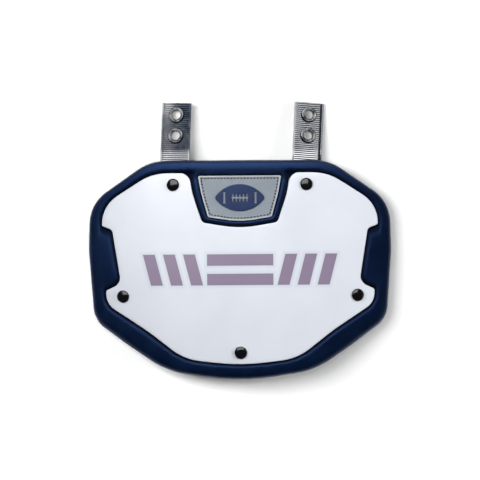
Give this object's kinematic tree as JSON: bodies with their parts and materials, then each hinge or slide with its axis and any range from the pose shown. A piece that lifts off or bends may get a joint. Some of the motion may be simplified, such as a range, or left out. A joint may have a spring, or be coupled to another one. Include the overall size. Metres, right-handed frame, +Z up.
{
  "type": "football back plate",
  "caption": "Football back plate lying on its back: a bent foam pad with a hard face plate riveted into its rim, a rubber badge in a foam frame, and ribbed straps with eyelets to hang it by.",
  "frame": {"origin": "under the middle of the whole part, on the surface that it lies on", "axes": "+Z up, out of the plate's face; +Y towards the straps, which is up when worn; +X to the right as the plate's face is seen"},
  "size_m": [0.3022, 0.2772, 0.0508],
  "materials": {
    "foam": "matte navy cloth over foam",
    "hard_white": "satin white with a mauve print",
    "black_enamel": "gloss black",
    "smoked_vinyl": "ribbed see-through vinyl",
    "gunmetal": "polished gunmetal",
    "grey_rubber": "matte grey",
    "navy_rubber": "matte navy"
  },
  "bodies": {
    "root": {"foam_pad": "foam", "face_plate": "hard_white", "badge": "grey_rubber", "badge_motif": "navy_rubber", "rivet_top_left": "black_enamel", "rivet_top_right": "black_enamel", "rivet_side_left": "black_enamel", "rivet_side_right": "black_enamel", "rivet_bottom": "black_enamel", "strap_left": "smoked_vinyl", "eyelet_left_far": "gunmetal", "eyelet_left_near": "gunmetal", "strap_right": "smoked_vinyl", "eyelet_right_far": "gunmetal", "eyelet_right_near": "gunmetal"}
  },
  "joints": []
}
